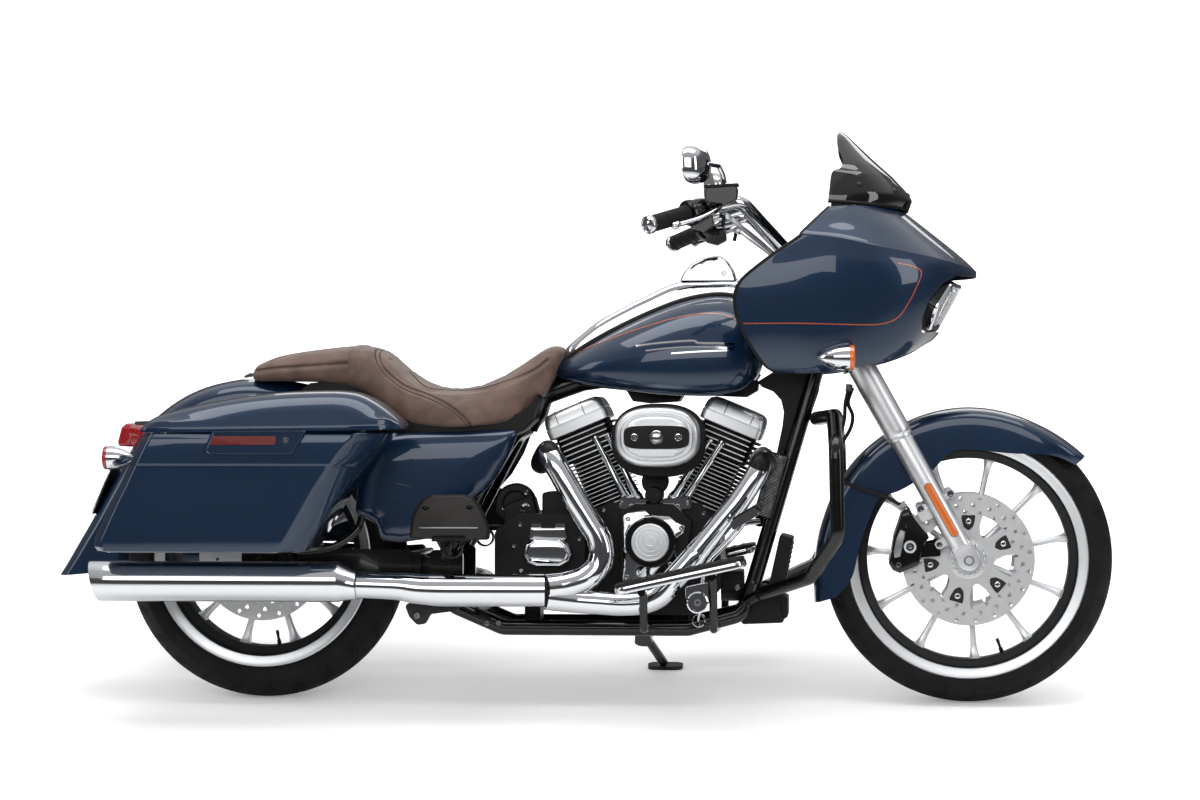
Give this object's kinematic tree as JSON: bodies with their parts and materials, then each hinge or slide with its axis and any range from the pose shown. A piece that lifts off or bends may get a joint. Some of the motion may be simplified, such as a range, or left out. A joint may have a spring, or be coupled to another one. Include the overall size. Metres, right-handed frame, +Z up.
{
  "type": "touring cruiser motorcycle",
  "caption": "Touring cruiser motorcycle with a V-twin engine, fork-mounted steering, frame-mounted fairing, two-up seat and hard saddlebags, parked on its side stand.",
  "frame": {"origin": "on the floor, under the middle of the leaned machine's bounding box", "axes": "+X forward along the machine, +Y to the rider's left, +Z up"},
  "size_m": [2.4102, 1.0048, 1.3031],
  "materials": {
    "blue_paint": "gloss metallic",
    "black_frame": "gloss",
    "black_engine": "satin powder coat",
    "chrome": "mirror",
    "brushed_steel": "satin",
    "machined_aluminium": "machined",
    "black_plastic": "grained",
    "black_rubber": "matt",
    "brown_leather": "grained",
    "red_lens": "clear gloss",
    "lamp_glass": "clear",
    "smoked_screen": "smoked clear",
    "tyre": "matt"
  },
  "bodies": {
    "chassis": {"main_frame": "black_frame", "swingarm": "black_frame", "shock_absorbers": "black_frame", "rear_caliper": "black_frame", "crankcase": "black_engine", "cylinders": "black_engine", "rocker_covers": "chrome", "pushrod_tubes": "chrome", "engine_covers": "chrome", "air_cleaner": "chrome", "primary_cover": "black_engine", "mufflers": "chrome", "exhaust_headers": "chrome", "front_header": "chrome", "exhaust_crossover": "brushed_steel", "engine_guard": "black_frame", "oil_cooler": "black_plastic", "rider_floorboards": "black_rubber", "foot_controls": "chrome", "passenger_floorboards": "black_frame", "fuel_tank": "blue_paint", "tank_console": "chrome", "seat": "brown_leather", "side_covers": "blue_paint", "rear_fender": "blue_paint", "tail_light": "red_lens", "rear_signal_bar": "chrome", "saddlebag_right": "blue_paint", "saddlebag_left": "blue_paint", "bag_latches": "chrome", "fairing": "blue_paint", "headlamp": "lamp_glass", "dashboard": "black_plastic", "windscreen": "smoked_screen", "front_signals": "chrome"},
    "fuel_door": {"fuel_door": "chrome"},
    "bag_lid_right": {"bag_lid_right": "blue_paint"},
    "bag_lid_left": {"bag_lid_left": "blue_paint"},
    "side_stand": {"side_stand": "black_frame"},
    "steering": {"fork_sliders": "chrome", "fork_covers": "brushed_steel", "triple_clamps": "black_frame", "handlebar": "chrome", "hand_grips": "black_rubber", "hand_controls": "black_plastic", "mirrors": "chrome", "front_fender": "blue_paint", "brake_calipers": "black_frame", "front_axle": "brushed_steel"},
    "front_wheel": {"front_wheel": "machined_aluminium", "front_tyre": "tyre", "front_discs": "brushed_steel"},
    "rear_wheel": {"rear_wheel": "machined_aluminium", "rear_tyre": "tyre", "rear_disc_and_pulley": "brushed_steel"}
  },
  "joints": [
    {"name": "steering_turn", "type": "hinge", "parent": "chassis", "child": "steering", "pos_m": [0.60246, -0.0157, 0.80589], "axis": [-0.4848, 0.1217, 0.8661], "range_deg": [-30, 30]},
    {"name": "front_wheel_spin", "type": "hinge", "parent": "steering", "child": "front_wheel", "pos_m": [0.8792, -0.08346, 0.32375], "axis": [0, 0.9903, -0.1392], "continuous": true},
    {"name": "rear_wheel_spin", "type": "hinge", "parent": "chassis", "child": "rear_wheel", "pos_m": [-0.7308, -0.0836, 0.32276], "axis": [0, 0.9903, -0.1392], "continuous": true},
    {"name": "side_stand_fold", "type": "hinge", "parent": "chassis", "child": "side_stand", "pos_m": [0.1292, 0.06636, 0.11083], "axis": [0, 0.6274, 0.7787], "range_deg": [0, 92]},
    {"name": "bag_lid_right_open", "type": "hinge", "parent": "chassis", "child": "bag_lid_right", "pos_m": [-0.7308, -0.24837, 0.63776], "axis": [-1, 0, 0], "range_deg": [0, 55]},
    {"name": "bag_lid_left_open", "type": "hinge", "parent": "chassis", "child": "bag_lid_left", "pos_m": [-0.7308, 0.16161, 0.58014], "axis": [1, 0, 0], "range_deg": [0, 55]},
    {"name": "fuel_door_open", "type": "hinge", "parent": "chassis", "child": "fuel_door", "pos_m": [0.3572, 0.00491, 0.95257], "axis": [0, 0.9903, -0.1392], "range_deg": [0, 80]}
  ]
}
